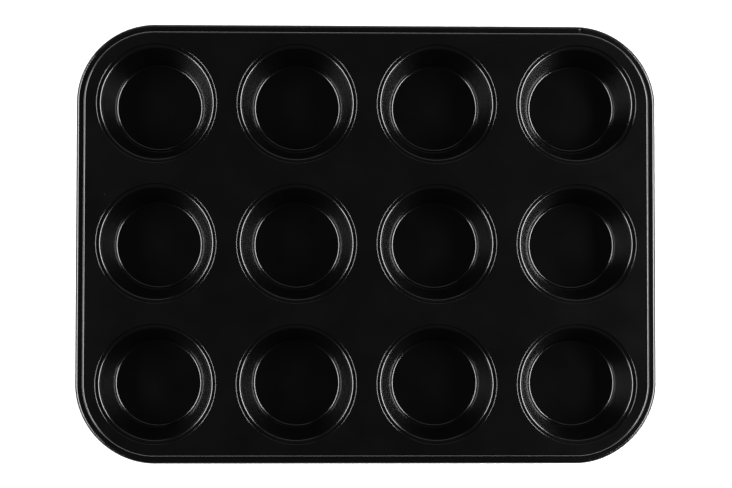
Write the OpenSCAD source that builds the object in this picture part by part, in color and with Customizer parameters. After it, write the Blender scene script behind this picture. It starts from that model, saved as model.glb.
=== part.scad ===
// Twelve-cup muffin tin: a pressed deck with a rolled, wired rim and drawn cups seamed into it.
// Millimetres. The origin is under the middle of the tin, on the plane that the cups stand on.

/* [Tin] */
// Length over the rolled rim
tin_l = 350.8; // [345:0.1:390]
// Width over the rolled rim
tin_w = 265.3; // [260:0.1:300]
// Height from the plane that the cups stand on to the top of the deck
tin_h = 30; // [20:0.5:45]
// Radius of the corners over the rolled rim
corner_r = 47.5; // [25:0.5:56]
// Thickness of the steel sheet
sheet = 0.5; // [0.35:0.05:0.6]

/* [Cups] */
// Cups along the length
columns = 4; // [1:1:4]
// Cups across the width
rows = 3; // [1:1:3]
// Distance between the middles of neighbouring cups
pitch = 84.6; // [78:0.2:86]
// Radius at the mouth, where the lines of the flange and the wall cross
mouth_r = 33.3; // [30:0.1:33.4]
// Slope of the wall away from upright, in degrees
draft = 13.7; // [5:0.1:18]
// Radius over which the wall turns out into the flange
mouth_bend = 1.8; // [1.2:0.1:2.2]
// Radius between the wall and the floor
floor_bend = 1.5; // [1:0.1:4]

/* [Seats] */
// Depth of the seat that the cup's flange lies on, below the top of the deck
seat_drop = 1.8; // [1.5:0.1:2.4]
// Radius of the deck's bend down into the seat
lip_bend = 0.7; // [0.7:0.05:1]
// Angle by which the lip leans in over the edge of the flange, in degrees
lip_lean = 15; // [5:1:20]
// Radius in the corner at the foot of the lip
lip_foot = 0.25; // [0.2:0.05:0.3]
// Width of the flat seat
seat_w = 1; // [0.5:0.1:1.2]
// Length of the collar that runs down the outside of the cup
collar_l = 4; // [2:0.5:8]

/* [Rim] */
// Width from the start of the deck's edge bend to the outside of the rim
rim_w = 5.95; // [5.5:0.05:7]
// Depth of the rim's flat top below the top of the deck
rim_drop = 3; // [2.8:0.1:6]
// Radius of the bend at the edge of the deck
edge_bend = 1.2; // [1:0.1:2.2]
// Radius in the corner where the edge wall turns out into the rim
rim_foot = 0.3; // [0.3:0.1:0.6]
// Diameter of the wire inside the rim
wire_d = 2.9; // [2:0.1:3.4]
// Angle through which the sheet is rolled round the wire, in degrees
roll = 240; // [180:5:265]

/* [Hidden] */
$fn = 96;
// Each chord of a bend turns through at most this angle, in degrees.
bend_step = 20;
// Slack between the wire and the sheet that is rolled round it
roll_slack = 0.05;
row_names = ["front", "middle", "back"];
cups = [for (row = [0 : rows - 1]) for (column = [0 : columns - 1]) [row, column]];

// The wall turns through this angle at the mouth and back again at the floor.
wall_turn = 90 - draft;
// The flange lies on the seat, and its top is one sheet higher.
flange_top = tin_h - seat_drop + sheet;
// Radius at which the top of the flange starts to bend down into the wall
mouth_start_r = mouth_r + mouth_bend * tan(wall_turn / 2);
// Length of the straight wall between its two bends
wall_l = (flange_top - sheet) / cos(draft) - (mouth_bend + floor_bend) * tan(wall_turn / 2);
// Radius at which the floor's flat starts
floor_r = mouth_start_r - mouth_bend * sin(wall_turn) - wall_l * sin(draft) - floor_bend * sin(wall_turn);

// The lip turns through this angle, runs straight, and turns back at its foot.
lip_turn = 90 + lip_lean;
lip_l = (seat_drop - (lip_bend + lip_foot) * (1 + sin(lip_lean))) / cos(lip_lean);
// Radius at which the deck starts to bend down into the seat
lip_start_r = mouth_start_r + seat_w + (lip_bend + lip_foot) * cos(lip_lean) - lip_l * sin(lip_lean);
// The flange ends where the lip's face is upright again, in its foot.
flange_r = mouth_start_r + seat_w + lip_foot * (1 - sin(lip_lean));

// Radius over the rolled rim's round edge
roll_r = wire_d / 2 + roll_slack + sheet;
// Length of the flat top of the rim
rim_flat = rim_w - edge_bend - rim_foot - roll_r;
// Height of the upright wall between the deck and the rim
edge_wall = rim_drop - edge_bend - rim_foot;
// The wire's centre line, in from the outside of the rim and below the top of the deck
wire_in = roll_r;
wire_z = tin_h - rim_drop - roll_r;

function cup_name(cup) = str("cup_", row_names[cup[0]], "_", cup[1] + 1);

function cup_centre(cup) = [
    (cup[1] - (columns - 1) / 2) * pitch,
    (cup[0] - (rows - 1) / 2) * pitch,
    0
];

// Unit vector to the left of a heading
function left(heading) = [-sin(heading), cos(heading)];

// Stations along the top face of a pressed sheet, each one its point and the heading there. A step is
// a straight run and then a bend: [run, turn, radius of the top face]. A negative turn bends it down.
function stations(steps, at = [0, 0], heading = 0, i = 0) =
    i == len(steps) ? [[at, heading]] :
    let (
        run = steps[i][0],
        turn = steps[i][1],
        reach = sign(turn) * steps[i][2],
        bend_at = at - run * left(heading + 90),
        centre = bend_at + reach * left(heading),
        chords = max(1, ceil(abs(turn) / bend_step)),
        headings = [for (chord = [0 : chords - 1]) heading + turn * chord / chords]
    )
    concat(
        run > 0 ? [[at, heading]] : [],
        turn == 0 ? [] : [for (h = headings) [centre - reach * left(h), h]],
        stations(steps, centre - reach * left(heading + turn), heading + turn, i + 1)
    );

// Section of a pressed sheet that starts along +X with its top face at Y = 0
module pressing(steps) {
    line = stations(steps);
    last = len(line) - 1;
    polygon(concat(
        [for (i = [0 : last]) line[i][0]],
        [for (i = [last : -1 : 0]) line[i][0] - sheet * left(line[i][1])]
    ));
}

// Outline of a plate with rounded corners
module rounded_plate(l, w, r) {
    square([l, w - 2 * r], center = true);
    square([l - 2 * r, w], center = true);
    for (x = [-1, 1], y = [-1, 1])
        translate([x * (l / 2 - r), y * (w / 2 - r)])
            circle(r);
}

// Carries a section round a plate's outline, which is at X = 0 in the section
module round_the_edge(l, w, r) {
    for (turned = [0, 1]) {
        out = (turned == 0 ? l : w) / 2;
        along = (turned == 0 ? w : l) / 2 - r;
        for (side = [0, 180])
            rotate(side + 90 * turned) {
                translate([out, along, 0])
                    rotate([90, 0, 0])
                        linear_extrude(2 * along)
                            children();
                translate([out - r, along, 0])
                    rotate_extrude(angle = 90)
                        translate([r, 0])
                            children();
            }
    }
}

// The deck's edge: down over the edge bend, out to the rim and round the wire
module rim_section()
    pressing([
        [0, -90, edge_bend],
        [edge_wall, 90, rim_foot],
        [rim_flat, -roll, roll_r]
    ]);

// One seat: down the lip, in along the seat and down the collar
module seat_ring()
    rotate_extrude()
        translate([lip_start_r, 0])
            mirror([1, 0])
                pressing([
                    [0, -lip_turn, lip_bend],
                    [lip_l, lip_turn, lip_foot],
                    [seat_w, -wall_turn, mouth_bend - sheet],
                    [collar_l, 0, 0]
                ]);

// The pressed deck, with its seats and its rolled rim
module deck() {
    flat_l = tin_l - 2 * rim_w;
    flat_w = tin_w - 2 * rim_w;
    flat_r = corner_r - rim_w;
    color("#1b1b1d")
        translate([0, 0, tin_h]) {
            translate([0, 0, -sheet])
                linear_extrude(sheet)
                    difference() {
                        rounded_plate(flat_l, flat_w, flat_r);
                        for (cup = cups)
                            translate(cup_centre(cup)) circle(lip_start_r);
                    }
            round_the_edge(flat_l, flat_w, flat_r) rim_section();
            for (cup = cups)
                translate(cup_centre(cup)) seat_ring();
        }
}

// The wire that the rim is rolled round, a closed ring
module rim_wire()
    color("#8b8d90")
        translate([0, 0, wire_z])
            round_the_edge(tin_l - 2 * wire_in, tin_w - 2 * wire_in, corner_r - wire_in)
                circle(d = wire_d);

// A drawn cup: its floor, its sloping wall, the bend at its mouth and its flange
module cup()
    color("#161618")
        rotate_extrude()
            translate([0, sheet])
                pressing([
                    [floor_r, wall_turn, floor_bend],
                    [wall_l, -wall_turn, mouth_bend],
                    [flange_r - mouth_start_r, 0, 0]
                ]);

deck();
rim_wire();
for (cup = cups)
    translate(cup_centre(cup)) cup();
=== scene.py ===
"""A twelve-cup muffin tin: a pressed deck with a rolled, wired rim, and cups seamed into it."""
import math
import random

import bmesh
import bpy
import numpy as np
from mathutils import Matrix, Vector


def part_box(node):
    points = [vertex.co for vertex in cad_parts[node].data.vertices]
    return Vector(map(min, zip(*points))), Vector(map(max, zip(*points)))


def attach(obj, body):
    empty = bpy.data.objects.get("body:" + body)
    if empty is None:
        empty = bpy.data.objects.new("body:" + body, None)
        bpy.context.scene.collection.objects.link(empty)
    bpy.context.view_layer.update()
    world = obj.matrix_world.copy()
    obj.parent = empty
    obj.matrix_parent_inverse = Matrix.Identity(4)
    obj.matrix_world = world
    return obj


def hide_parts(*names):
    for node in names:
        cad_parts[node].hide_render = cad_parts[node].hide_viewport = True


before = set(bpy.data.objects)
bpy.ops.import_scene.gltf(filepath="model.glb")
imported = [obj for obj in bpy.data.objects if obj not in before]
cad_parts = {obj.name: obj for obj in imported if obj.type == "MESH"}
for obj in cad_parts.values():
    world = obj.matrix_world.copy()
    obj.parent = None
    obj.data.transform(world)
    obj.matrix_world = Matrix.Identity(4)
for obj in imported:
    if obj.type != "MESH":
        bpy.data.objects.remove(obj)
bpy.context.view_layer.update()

MM = 0.001
BODY = "root"

# Sizes that the frame's boxes give
_, deck_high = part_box("deck")
wire_low, wire_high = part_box("rim_wire")
HALF_L = deck_high.x
HALF_W = deck_high.y
DECK_TOP = deck_high.z
WIRE_R = (wire_high.z - wire_low.z) / 2
WIRE_Z = (wire_high.z + wire_low.z) / 2
CUPS = sorted(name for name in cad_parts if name.startswith("cup_"))

# The bends of the sheet, which the boxes can't give
SHEET = 0.5 * MM
CORNER_R = 47.5 * MM
RIM_W = 5.95 * MM
RIM_DROP = 3 * MM
EDGE_BEND = 1.2 * MM
RIM_FOOT = 0.3 * MM
ROLL = 240
MOUTH_R = 33.3 * MM
MOUTH_BEND = 1.8 * MM
FLOOR_BEND = 1.5 * MM
DRAFT = 13.7
SEAT_DROP = 1.8 * MM
SEAT_W = 1 * MM
LIP_BEND = 0.7 * MM
LIP_LEAN = 15
LIP_FOOT = 0.25 * MM
COLLAR_L = 4 * MM

# How fine the meshes are
CELL_RAYS = 80
CELL_RINGS = 5
CUP_COLUMNS = 96
CORNER_STEP = 0.33 * MM
FAN_W = 1.6 * MM
LEAD_IN = 0.3 * MM
SUPPORT = 0.15 * MM
EDGE_ROUND = 0.12 * MM
WELD = 0.004 * MM
WIRE_SIDES = 24
WIRE_CORNER_STEPS = 33
# Two places nearer than this are the same place.
SAME = 0.001 * MM
BISECTIONS = 50
# The flange stops short of the lip round it.
FLANGE_SLACK = 0.05 * MM

# What forming and use leave: how far the sheet sags, how much each cup's floor rises in its middle
# and how far the cup is out of round, the creases round the corners of the rim, and a small fold at
# the start of one corner
SAG = 0.02 * MM
CROWN = (0.1 * MM, 0.25 * MM)
OVAL = 0.02 * MM
THREE_LOBED = 0.012 * MM
CREASE_DEPTH = 0.09 * MM
CREASE_WAVES = 9
CREASE_PERIOD = (0.75 * MM, 1.9 * MM)
CREASED_HALF_ANGLE = 47
FOLD_DEPTH = 0.3 * MM
FOLD_W = 1 * MM
FOLD_HEADING = 87
# How far each corner of the rim is bent in from a true one, by the signs of its X and Y
CORNER_PULLS = {(1, -1): 1.25 * MM, (1, 1): 0.7 * MM, (-1, -1): 0.5 * MM}
# Where that starts and how far it takes to be full, as shares of the corner's radius
PULL_START = 0.79
PULL_GROWTH = 0.08

# The paper floor's own glow, and the dark studio round the lamps
FLOOR_HALF = 6
FLOOR_GLOW = 0.35
WORLD_GREY = 0.02

# Each lamp's place, its width and height, and its power; all of them face the same spot.
SOFTBOXES = {
    "softbox_right": ((0.95, 0.02, 0.88), (1.3, 0.45), 46),
    "softbox_left": ((-1.05, -0.05, 0.95), (1.37, 0.45), 43),
    "softbox_back": ((0.1, 1.1, 0.95), (1.3, 0.45), 1.8),
}
LAMP_TARGET = (0, 0, 0.03)

# The camera, which is a little to the left of the middle and in front of it
CAMERA_PLACE = (-0.0350, -0.0456, 1.2484)
CAMERA_TARGET = (-0.00055, -0.0003, 0.030)
CAMERA_UP = (-0.0011, 1, 0)
CAMERA_LENS = 99.56

# What follows from the sizes
ROLL_R = HALF_L - wire_high.x + WIRE_R
WALL_TURN = 90 - DRAFT
FLANGE_TOP = DECK_TOP - SEAT_DROP + SHEET


def sine(degrees):
    return math.sin(math.radians(degrees))


def cosine(degrees):
    return math.cos(math.radians(degrees))


def tangent(degrees):
    return math.tan(math.radians(degrees))


MOUTH_START_R = MOUTH_R + MOUTH_BEND * tangent(WALL_TURN / 2)
WALL_L = (
    (FLANGE_TOP - SHEET) / cosine(DRAFT)
    - (MOUTH_BEND + FLOOR_BEND) * tangent(WALL_TURN / 2)
)
FLOOR_R = (
    MOUTH_START_R
    - (MOUTH_BEND + FLOOR_BEND) * sine(WALL_TURN)
    - WALL_L * sine(DRAFT)
)
LIP_L = (SEAT_DROP - (LIP_BEND + LIP_FOOT) * (1 + sine(LIP_LEAN))) / cosine(LIP_LEAN)
LIP_START_R = (
    MOUTH_START_R + SEAT_W
    + (LIP_BEND + LIP_FOOT) * cosine(LIP_LEAN)
    - LIP_L * sine(LIP_LEAN)
)
FLANGE_R = MOUTH_START_R + SEAT_W + LIP_FOOT * (1 - sine(LIP_LEAN))
FLAT_R = CORNER_R - RIM_W
CORE = np.array([HALF_L - CORNER_R, HALF_W - CORNER_R])
RIM_FLAT = RIM_W - EDGE_BEND - RIM_FOOT - ROLL_R
EDGE_WALL = RIM_DROP - EDGE_BEND - RIM_FOOT


# ---------------------------------------------------------------- sections of pressed sheet


def left(heading):
    """Unit vector to the left of a heading in degrees."""
    return np.array([-sine(heading), cosine(heading)])


def stations(steps):
    """Points along the top face of a section, each with the heading there.

    A step is a run and then a bend: (run, turn, radius, degrees per chord).
    """
    at, heading, line = np.zeros(2), 0.0, []
    for run, turn, radius, chord in steps:
        if run > 0:
            along = -left(heading + 90)
            spots = [0.0, run]
            if run > 4 * SUPPORT:
                spots += [SUPPORT, run - SUPPORT]
                spots += list(np.linspace(0, run, 2 + int(run / (4 * MM)))[1:-1])
            line += [(at + s * along, heading) for s in sorted(spots)[:-1]]
            at = at + run * along
        if turn:
            reach = math.copysign(radius, turn)
            centre = at + reach * left(heading)
            chords = math.ceil(abs(turn) / chord)
            for k in range(chords):
                h = heading + turn * k / chords
                line.append((centre - reach * left(h), h))
            heading += turn
            at = centre - reach * left(heading)
    line.append((at, heading))
    return line


def rounded_end(at, heading):
    """The cut edge of the sheet: from its top face round to its bottom face."""
    along, down = -left(heading + 90), -left(heading)
    c = EDGE_ROUND
    spots = [(-0.3 * c, 0.3 * c), (0, c), (0, SHEET - c), (-0.3 * c, SHEET - 0.3 * c)]
    return [at + x * along + y * down for x, y in spots]


def open_section(steps):
    """Out along the top face, round the cut edge and back along the bottom face."""
    line = stations(steps)
    end, heading = line[-1]
    line[-1] = (end + left(heading + 90) * EDGE_ROUND, heading)
    top = [p for p, _ in line]
    bottom = [p - SHEET * left(h) for p, h in reversed(line)]
    return np.array(top + rounded_end(end, heading) + bottom)


# ---------------------------------------------------------------- meshes from patches


class Patches:
    """Vertices and faces gathered patch by patch, welded where the patches meet."""

    def __init__(self):
        self.points, self.faces, self.count = [], [], 0

    def add(self, points):
        """Adds points and returns the number of the first."""
        first = self.count
        self.points.append(np.asarray(points, float).reshape(-1, 3))
        self.count += len(self.points[-1])
        return first

    def grid(self, points):
        """A band of rows by columns of points, its last column joined to its first."""
        rows, columns = points.shape[:2]
        index = self.add(points) + np.arange(rows * columns).reshape(rows, columns)
        ahead = np.roll(index, -1, axis=1)
        quads = np.stack([index[:-1], ahead[:-1], ahead[1:], index[1:]], axis=-1)
        self.faces += quads.reshape(-1, 4).tolist()
        return index

    def mesh(self, name):
        """The welded mesh, smooth, with its normals turned outwards."""
        me = bpy.data.meshes.new(name)
        me.from_pydata(warped(np.concatenate(self.points)).tolist(), [], self.faces)
        bm = bmesh.new()
        bm.from_mesh(me)
        bmesh.ops.remove_doubles(bm, verts=bm.verts, dist=WELD)
        bmesh.ops.recalc_face_normals(bm, faces=bm.faces)
        for face in bm.faces:
            face.smooth = True
        bm.to_mesh(me)
        bm.free()
        return me


def pulled_in(points):
    """The points, moved in at the corners of the rim. The cups stay where they are."""
    beyond = np.maximum(np.abs(points[:, :2]) - CORE, 0) / CORNER_R
    far = np.clip((np.linalg.norm(beyond, axis=1) - PULL_START) / PULL_GROWTH, 0, 1)
    share = far * far * (3 - 2 * far) * np.clip(2 * beyond[:, 0] * beyond[:, 1], 0, 1)
    moved = points.copy()
    for corner, pull in CORNER_PULLS.items():
        here = (np.sign(points[:, :2]) == corner).all(axis=1)
        moved[here, :2] -= (pull * share[here])[:, None] * np.array(corner) / math.sqrt(2)
    return moved


def warped(points):
    """The points, bent in at the rim's corners, and lowered where the sheet sags.

    What stands on the floor stays on it.
    """
    x, y, z = pulled_in(points).T
    # Waves about 0.25 m long, and weaker ones about 0.07 m long
    wide = np.sin(21 * x + 0.7) * np.sin(27 * y - 0.4)
    close = np.sin(63 * x + 54 * y + 1.1) * np.sin(48 * x - 71 * y)
    drop = SAG * (1 - wide) + SAG / 4 * (1 - close)
    return np.stack([x, y, z - drop * np.clip(z / DECK_TOP, 0, 1)], axis=1)


# ---------------------------------------------------------------- the deck


def cup_centre(name):
    low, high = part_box(name)
    return np.array([(low.x + high.x) / 2, (low.y + high.y) / 2])


CENTRES = {name: cup_centre(name) for name in CUPS}
PITCH = float(min(
    np.linalg.norm(CENTRES[a] - CENTRES[b]) for a in CUPS for b in CUPS if a != b
))
FURTHEST = np.max(np.abs(list(CENTRES.values())), axis=0)
INSET_R = FLAT_R - LEAD_IN - FAN_W


def outside(points, radius):
    """Distance of points outside the rounded outline whose corners have this radius."""
    return np.linalg.norm(np.maximum(np.abs(points) - CORE, 0), axis=-1) - radius


def cell_border(centre):
    """Where the rays from a cup's middle meet the edge of its share of the deck, and which ends are
    on the deck's outline.

    Neighbouring shares meet halfway between the cups.
    """
    turn = np.arange(CELL_RAYS) * 2 * math.pi / CELL_RAYS
    ray = np.stack([np.cos(turn), np.sin(turn)], axis=1)
    edge_side = np.abs(centre) > FURTHEST - 1 * MM
    # Distance to the line halfway to the next cup, along each ray and on each axis
    with np.errstate(divide="ignore"):
        halfway = (PITCH / 2) / np.abs(ray)
    outward = (ray * centre > 1e-9) & edge_side
    halfway[outward] = np.inf
    reach = np.minimum(halfway.min(axis=1), 2 * HALF_L)
    low, high = np.zeros(CELL_RAYS), reach.copy()
    for _ in range(BISECTIONS):
        middle = (low + high) / 2
        out = outside(centre + ray * middle[:, None], INSET_R) > 0
        high = np.where(out, middle, high)
        low = np.where(out, low, middle)
    border = centre + ray * high[:, None]
    on_outline = outside(border, INSET_R) > -SAME
    limit = CORE + INSET_R
    for k in range(CELL_RAYS // 8, CELL_RAYS, CELL_RAYS // 4):
        side = np.sign(ray[k])
        out = (side * centre > 1e-9) & edge_side
        if out.sum() == 1:
            border[k] = np.where(out, side * limit, centre + side * PITCH / 2)
            on_outline[k] = True
    if edge_side.all():
        for k in range(0, CELL_RAYS, CELL_RAYS // 4):
            if on_outline[k]:
                axis = int(abs(ray[k][0]) < 0.5)
                border[k][1 - axis] = math.copysign(CORE[1 - axis], centre[1 - axis])
    return border, on_outline


def seat_section():
    """Down the lip, in along the seat and down the collar; X runs from the cup's axis."""
    points = open_section([
        (LEAD_IN, -(90 + LIP_LEAN), LIP_BEND, 9),
        (LIP_L, 90 + LIP_LEAN, LIP_FOOT, 27),
        (SEAT_W, -WALL_TURN, MOUTH_BEND - SHEET, 16),
        (COLLAR_L, 0, 0, 1),
    ])
    return LIP_START_R + LEAD_IN - points[:, 0], DECK_TOP + points[:, 1]


def rim_section():
    """Over the deck's edge, down, out to the rim and round the wire; X runs out from the flat."""
    points = open_section([
        (LEAD_IN, -90, EDGE_BEND, 9),
        (EDGE_WALL, 90, RIM_FOOT, 15),
        (RIM_FLAT, -ROLL, ROLL_R, 12),
    ])
    return points[:, 0] - LEAD_IN, DECK_TOP + points[:, 1]


def add_cell(deck, centre):
    """One cup's share of the deck: its seat, and the flat from there to the share's edge."""
    border, on_outline = cell_border(centre)
    away = border - centre
    away /= np.linalg.norm(away, axis=1)[:, None]
    r, z = seat_section()
    seat = np.empty((len(r), CELL_RAYS, 3))
    seat[..., :2] = centre + r[:, None, None] * away[None]
    seat[..., 2] = z[:, None]
    deck.grid(seat)
    share = np.linspace(0, 1, CELL_RINGS + 1)
    for row, height in ((0, DECK_TOP), (-1, DECK_TOP - SHEET)):
        flat = np.empty((len(share), CELL_RAYS, 3))
        inner = seat[row, :, :2]
        flat[..., :2] = inner + share[:, None, None] * (border - inner)
        flat[..., 2] = height
        deck.grid(flat)
    return border[on_outline]


def feet(points):
    """The point of the core rectangle that is nearest to each point, and the way out from there."""
    core = np.clip(points, -CORE, CORE)
    way = points - core
    return core, way / np.linalg.norm(way, axis=1)[:, None]


def outline_loop(points):
    """Border points in order round the tin, each once."""
    points = points[np.argsort(np.arctan2(points[:, 1], points[:, 0]))]
    step = np.linalg.norm(points - np.roll(points, 1, axis=0), axis=1)
    return points[step > 0.01 * MM]


def fine_loop(core, way):
    """Stations round the rim, close together at its corners, and how many each interval has."""
    cores, ways, counts = [], [], []
    for i in range(len(core)):
        j = (i + 1) % len(core)
        turned = math.atan2(
            way[i][0] * way[j][1] - way[i][1] * way[j][0], float(way[i] @ way[j])
        )
        parts = max(1, round(abs(turned) * CORNER_R / CORNER_STEP))
        for k in range(parts):
            a = turned * k / parts
            spin = np.array([[math.cos(a), -math.sin(a)], [math.sin(a), math.cos(a)]])
            cores.append(core[i] + (core[j] - core[i]) * k / parts)
            ways.append(spin @ way[i])
        counts.append(parts)
    return np.array(cores), np.array(ways), counts


def creases(ways):
    """Depth of the creases that rolling the sheet round the corners leaves, at each station."""
    rng = random.Random(7)
    heading = np.arctan2(ways[:, 1], ways[:, 0])
    depth = np.zeros(len(ways))
    for corner in range(4):
        off = (heading - math.radians(45 + 90 * corner) + math.pi) % (2 * math.pi) - math.pi
        fade = np.clip(5 * (1 - np.abs(off) / math.radians(CREASED_HALF_ANGLE)), 0, 1)
        run = off * CORNER_R
        wave = np.zeros(len(ways))
        for _ in range(CREASE_WAVES):
            period = rng.uniform(*CREASE_PERIOD)
            phase = rng.uniform(0, 2 * math.pi)
            drift = rng.uniform(2, 5) * np.sin(
                run / (rng.uniform(6, 14) * MM) + rng.uniform(0, 6)
            )
            wave += rng.uniform(0.5, 1) * np.sin(2 * math.pi * run / period + phase + drift)
        depth += CREASE_DEPTH * fade * np.clip(0.5 + 0.2 * wave, 0, 1)
    run = (heading - math.radians(FOLD_HEADING)) * CORNER_R
    return depth + FOLD_DEPTH * np.exp(-((run / FOLD_W) ** 2))


def add_rim(deck, border):
    """The rim, swept round the outline, and the fans that join it to the cells."""
    loop = outline_loop(border)
    cores, ways, counts = fine_loop(*feet(loop))
    u, z = rim_section()
    # The creases grow over the rim's flat top, are full on the roll and end on its outer side.
    out_of_wire = np.stack([np.maximum(u - (RIM_W - ROLL_R), 0), z - WIRE_Z], axis=1)
    far = np.linalg.norm(out_of_wire, axis=1)
    out_of_wire /= far[:, None]
    full = (
        np.clip((u - (RIM_W - 2 * ROLL_R)) / ROLL_R, 0, 1)
        * np.clip(2 * out_of_wire[:, 1] - 0.5, 0, 1)
        * np.clip((far - ROLL_R) / SHEET + 1, 0, 1)
    )
    depth = full[:, None] * creases(ways)
    place = np.empty((len(u), len(cores), 3))
    out = FLAT_R + u[:, None] - out_of_wire[:, :1] * depth
    place[..., :2] = cores[None] + out[..., None] * ways[None]
    place[..., 2] = z[:, None] - out_of_wire[:, 1:] * depth
    index = deck.grid(place)
    for row, height in ((0, DECK_TOP), (-1, DECK_TOP - SHEET)):
        ring = deck.add(np.column_stack([loop, np.full(len(loop), height)]))
        spot = 0
        for i, parts in enumerate(counts):
            a, b = ring + i, ring + (i + 1) % len(loop)
            ahead = [index[row, (spot + k) % len(cores)] for k in range(parts + 1)]
            half = (parts + 1) // 2
            for k in range(parts):
                deck.faces.append([a if k < half else b, ahead[k], ahead[k + 1]])
            deck.faces.append([a, ahead[half], b])
            spot += parts


def build_deck():
    deck = Patches()
    border = np.concatenate([add_cell(deck, CENTRES[name]) for name in CUPS])
    add_rim(deck, border)
    return deck.mesh("deck_sheet")


# ---------------------------------------------------------------- the cups


def cup_section(crown):
    """A cup's inside face from its middle out to the flange, and back along the outside."""
    points = open_section([
        (FLOOR_R, WALL_TURN, FLOOR_BEND, 8),
        (WALL_L, -WALL_TURN, MOUTH_BEND, 7),
        (FLANGE_R - MOUTH_START_R - FLANGE_SLACK, 0, 0, 1),
    ])
    # The floor rises a little towards its middle.
    rise = np.clip(1 - points[:, 0] / FLOOR_R, 0, 1)
    points[:, 1] += SHEET + crown * rise * rise * (3 - 2 * rise)
    return points


def build_cup(name, seed):
    """One drawn cup, very slightly out of round as each one is."""
    rng = random.Random(seed)
    points = cup_section(rng.uniform(*CROWN))
    turn = np.arange(CUP_COLUMNS) * 2 * math.pi / CUP_COLUMNS
    oval = (
        OVAL * np.cos(2 * turn + rng.uniform(0, 6))
        + THREE_LOBED * np.cos(3 * turn + rng.uniform(0, 6))
    )
    r = points[:, :1] + oval * np.clip(points[:, :1] / MOUTH_R, 0, 1) ** 2
    body = np.empty((len(points), CUP_COLUMNS, 3))
    body[..., 0] = CENTRES[name][0] + r * np.cos(turn)
    body[..., 1] = CENTRES[name][1] + r * np.sin(turn)
    body[..., 2] = points[:, 1:]
    cup = Patches()
    cup.grid(body)
    return cup.mesh(name + "_sheet")


# ---------------------------------------------------------------- the rim's wire


def build_wire():
    """The wire's closed ring."""
    corner_turn = np.linspace(0, math.pi / 2, WIRE_CORNER_STEPS)
    cores, ways = [], []
    for corner in range(4):
        heading = corner_turn + corner * math.pi / 2
        side = np.array([1 if corner in (0, 3) else -1, 1 if corner in (0, 1) else -1])
        ways.append(np.stack([np.cos(heading), np.sin(heading)], axis=1))
        cores.append(np.broadcast_to(side * CORE, ways[-1].shape))
    cores, ways = np.concatenate(cores), np.concatenate(ways)
    turn = np.arange(WIRE_SIDES + 1) * 2 * math.pi / WIRE_SIDES
    out = CORNER_R - ROLL_R + WIRE_R * np.cos(turn)
    rows = np.empty((len(turn), len(cores), 3))
    rows[..., :2] = cores + out[:, None, None] * ways
    rows[..., 2] = (WIRE_Z + WIRE_R * np.sin(turn))[:, None]
    wire = Patches()
    wire.grid(rows)
    return wire.mesh("rim_wire_ring")


# ---------------------------------------------------------------- materials


class Surface:
    """A material's node tree, and short ways to add to it."""

    def __init__(self, name):
        self.material = bpy.data.materials.new(name)
        self.material.use_nodes = True
        self.tree = self.material.node_tree
        self.shader = self.tree.nodes["Principled BSDF"]
        self.place = self.node("ShaderNodeTexCoord").outputs["Object"]

    def node(self, kind, inputs=None, **settings):
        node = self.tree.nodes.new(kind)
        for key, value in settings.items():
            setattr(node, key, value)
        self.fill(node, inputs or {})
        return node

    def fill(self, node, inputs):
        """Sets a node's inputs, each to a value or to what another node gives."""
        for key, value in inputs.items():
            if isinstance(value, bpy.types.NodeSocket):
                self.tree.links.new(value, node.inputs[key])
            else:
                node.inputs[key].default_value = value

    def noise(self, scale, detail, roughness):
        inputs = {"Vector": self.place, "Scale": scale, "Detail": detail, "Roughness": roughness}
        return self.node("ShaderNodeTexNoise", inputs).outputs["Fac"]

    def spread(self, value, source, target):
        """A value carried from one range to another, and held there."""
        names = ("Value", "From Min", "From Max", "To Min", "To Max")
        inputs = dict(zip(names, (value, *source, *target)))
        return self.node("ShaderNodeMapRange", inputs).outputs["Result"]

    def maths(self, operation, first, second):
        return self.node("ShaderNodeMath", {0: first, 1: second}, operation=operation).outputs[0]

    def blend(self, share, first, second):
        inputs = {"Factor": share, 6: first, 7: second}
        return self.node("ShaderNodeMix", inputs, data_type="RGBA").outputs[2]

    def bump(self, height, strength, distance):
        inputs = {"Height": height, "Strength": strength, "Distance": distance}
        return self.node("ShaderNodeBump", inputs).outputs["Normal"]


def coating_material():
    """Black non-stick coating: smooth, with faint smudges and a few specks of dust."""
    coat = Surface("nonstick_coating")
    smudge = coat.noise(38, 3, 0.55)
    cells = coat.node("ShaderNodeTexVoronoi", {"Vector": coat.place, "Scale": 260.0})
    pick = coat.node("ShaderNodeSeparateColor", {"Color": cells.outputs["Color"]}).outputs[0]
    near = coat.spread(cells.outputs["Distance"], (0.03, 0.06), (1, 0))
    dust = coat.maths("MULTIPLY", near, coat.maths("GREATER_THAN", pick, 0.996))
    black = coat.blend(smudge, (0.0006, 0.0006, 0.0007, 1), (0.0011, 0.0011, 0.0012, 1))
    coat.fill(coat.shader, {
        "Base Color": coat.blend(dust, black, (0.05, 0.05, 0.048, 1)),
        "Roughness": coat.spread(smudge, (0.3, 0.7), (0.16, 0.185)),
        "IOR": 1.5,
    })
    return coat.material


def wire_material():
    """Plain drawn steel wire, dulled by heat, with marks along it."""
    steel = Surface("rim_wire_steel")
    stain = steel.noise(90, 4, 0.6)
    scratch = steel.noise(1800, 2, 0.5)
    steel.fill(steel.shader, {
        "Base Color": steel.blend(stain, (0.30, 0.29, 0.28, 1), (0.48, 0.47, 0.46, 1)),
        "Roughness": steel.spread(scratch, (0.3, 0.7), (0.32, 0.48)),
        "Normal": steel.bump(scratch, 0.2, 0.01 * MM),
        "Metallic": 1.0,
    })
    return steel.material


# ---------------------------------------------------------------- the pieces in the frame


def add_piece(mesh, name, material, node):
    piece = bpy.data.objects.new(name, mesh)
    bpy.context.scene.collection.objects.link(piece)
    mesh.materials.clear()
    mesh.materials.append(material)
    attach(piece, BODY)
    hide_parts(node)


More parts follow.
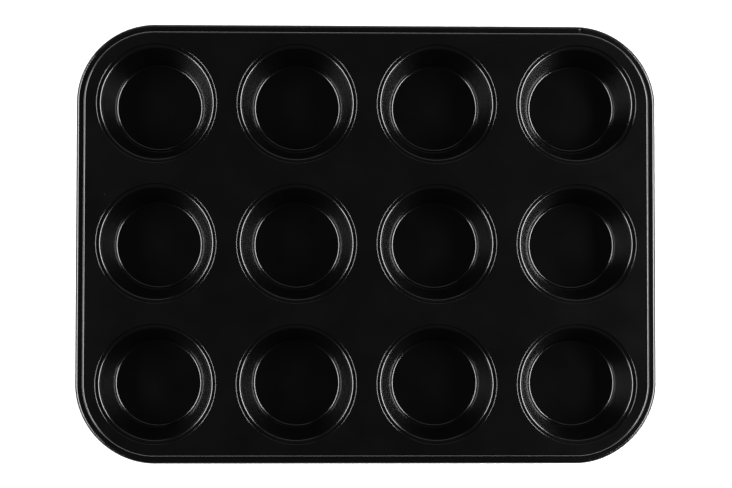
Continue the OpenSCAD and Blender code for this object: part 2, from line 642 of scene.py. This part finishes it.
coating = coating_material()
add_piece(build_deck(), "deck_sheet", coating, "deck")
for number, cup_name in enumerate(CUPS):
    cup_mesh = build_cup(cup_name, 100 + number)
    add_piece(cup_mesh, cup_name + "_sheet", coating, cup_name)
add_piece(build_wire(), "rim_wire_ring", wire_material(), "rim_wire")


# ---------------------------------------------------------------- floor, light and camera


def add_floor():
    mesh = bpy.data.meshes.new("floor")
    corners = [(x * FLOOR_HALF, y * FLOOR_HALF, 0) for x, y in ((-1, -1), (1, -1), (1, 1), (-1, 1))]
    mesh.from_pydata(corners, [], [(0, 1, 2, 3)])
    floor = bpy.data.objects.new("floor", mesh)
    bpy.context.scene.collection.objects.link(floor)
    paper = Surface("floor_paper")
    paper.fill(paper.shader, {
        "Base Color": (0.85, 0.85, 0.85, 1),
        "Roughness": 0.9,
        "Specular IOR Level": 0.0,
        "Emission Color": (1, 1, 1, 1),
        "Emission Strength": FLOOR_GLOW,
    })
    mesh.materials.append(paper.material)


def aim(thing, target, up):
    """Turns a light or the camera to look at a place, with its own Y towards `up`."""
    back = (thing.location - target).normalized()
    right = up.cross(back).normalized()
    turn = Matrix((right, back.cross(right), back)).transposed()
    thing.matrix_world = Matrix.Translation(thing.location) @ turn.to_4x4()


def add_softbox(name, place, size, power):
    lamp = bpy.data.lights.new(name, "AREA")
    lamp.shape = "RECTANGLE"
    lamp.size, lamp.size_y = size
    lamp.energy = power
    light = bpy.data.objects.new(name, lamp)
    light.location = place
    bpy.context.scene.collection.objects.link(light)
    aim(light, Vector(LAMP_TARGET), Vector((0, 0, 1)))


def add_camera():
    camera = bpy.data.objects.new("camera", bpy.data.cameras.new("camera"))
    camera.data.sensor_width = 36
    camera.data.lens = CAMERA_LENS
    camera.location = Vector(CAMERA_PLACE)
    bpy.context.scene.collection.objects.link(camera)
    aim(camera, Vector(CAMERA_TARGET), Vector(CAMERA_UP))
    bpy.context.scene.camera = camera


add_floor()
for lamp_name, (lamp_place, lamp_size, lamp_power) in SOFTBOXES.items():
    add_softbox(lamp_name, lamp_place, lamp_size, lamp_power)
world = bpy.data.worlds.new("studio")
world.use_nodes = True
world.node_tree.nodes["Background"].inputs["Color"].default_value = (WORLD_GREY,) * 3 + (1,)
bpy.context.scene.world = world
bpy.context.scene.view_settings.view_transform = "Standard"
add_camera()
